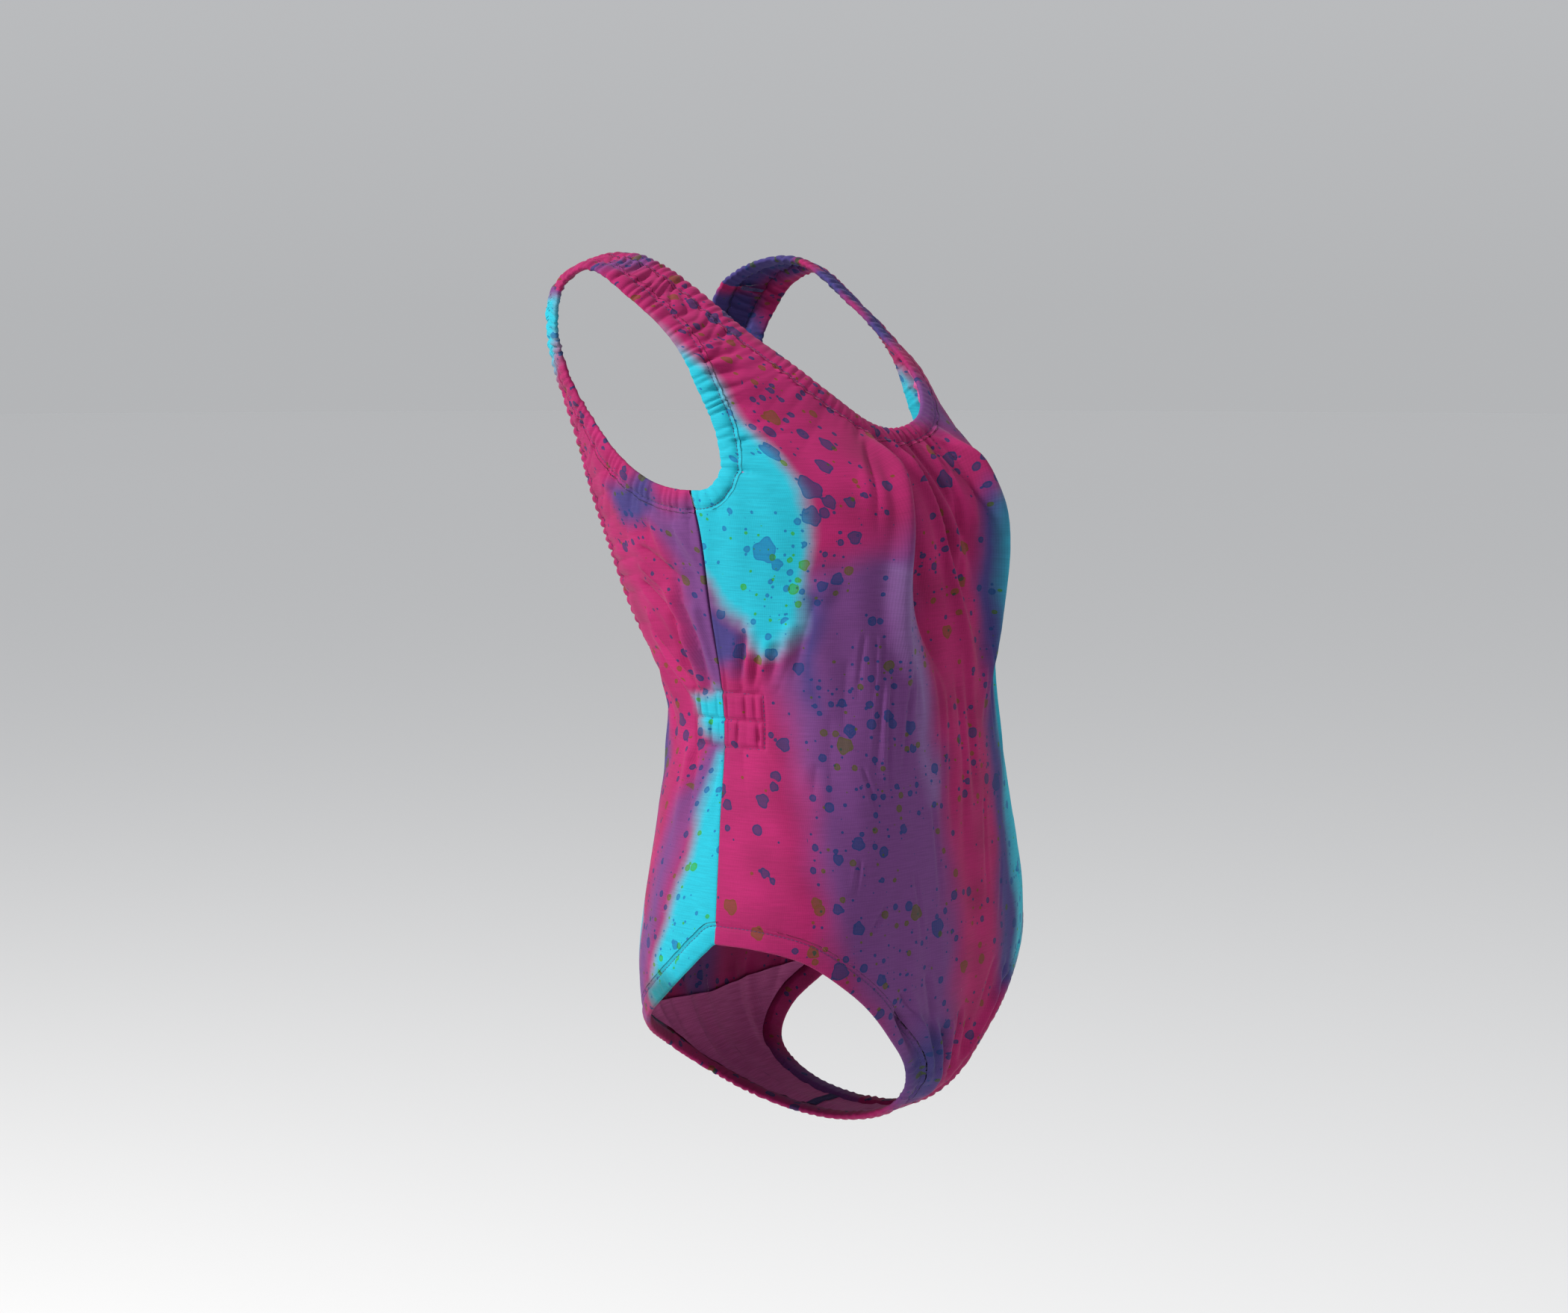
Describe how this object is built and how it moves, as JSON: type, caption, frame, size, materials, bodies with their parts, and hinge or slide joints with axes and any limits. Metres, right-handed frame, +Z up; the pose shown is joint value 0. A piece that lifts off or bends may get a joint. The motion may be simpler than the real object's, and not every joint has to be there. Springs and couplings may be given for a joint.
{
  "type": "gymnastics leotard",
  "caption": "Sleeveless one-piece leotard with gathered straps, scoop neck, low back and shirred waist tabs over the side seams",
  "frame": {"origin": "middle plane of the garment at the height of the waist elastics, on the side-to-side line through the side seams at the waist", "axes": "+Z up, the garment's front faces -Y, its right side is -X"},
  "size_m": [0.332, 0.3153, 0.6564],
  "materials": {
    "dyed_jersey": "matte cotton and elastane jersey, dyed in bands with speckles",
    "lining": "matte thin jersey",
    "elastic": "woven elastic, matte",
    "thread": "dark polyester thread, slight sheen"
  },
  "bodies": {
    "root": {"front_panel": "dyed_jersey", "back_panel": "dyed_jersey", "front_lining": "lining", "crotch_lining": "lining", "lining_elastic": "elastic", "neckline_elastic": "elastic", "neckline_topstitch": "thread", "armhole_elastic_right": "elastic", "armhole_topstitch_right": "thread", "armhole_elastic_left": "elastic", "armhole_topstitch_left": "thread", "leg_elastic_right": "elastic", "leg_topstitch_right": "thread", "leg_elastic_left": "elastic", "leg_topstitch_left": "thread", "side_seam_overlock_right": "thread", "shoulder_seam_overlock_right": "thread", "side_seam_overlock_left": "thread", "shoulder_seam_overlock_left": "thread", "crotch_seam_overlock": "thread", "waist_elastic_upper_right": "elastic", "waist_elastic_lower_right": "elastic", "waist_casing_right": "lining", "waist_stitching_right": "thread", "waist_elastic_upper_left": "elastic", "waist_elastic_lower_left": "elastic", "waist_casing_left": "lining", "waist_stitching_left": "thread"}
  },
  "joints": []
}
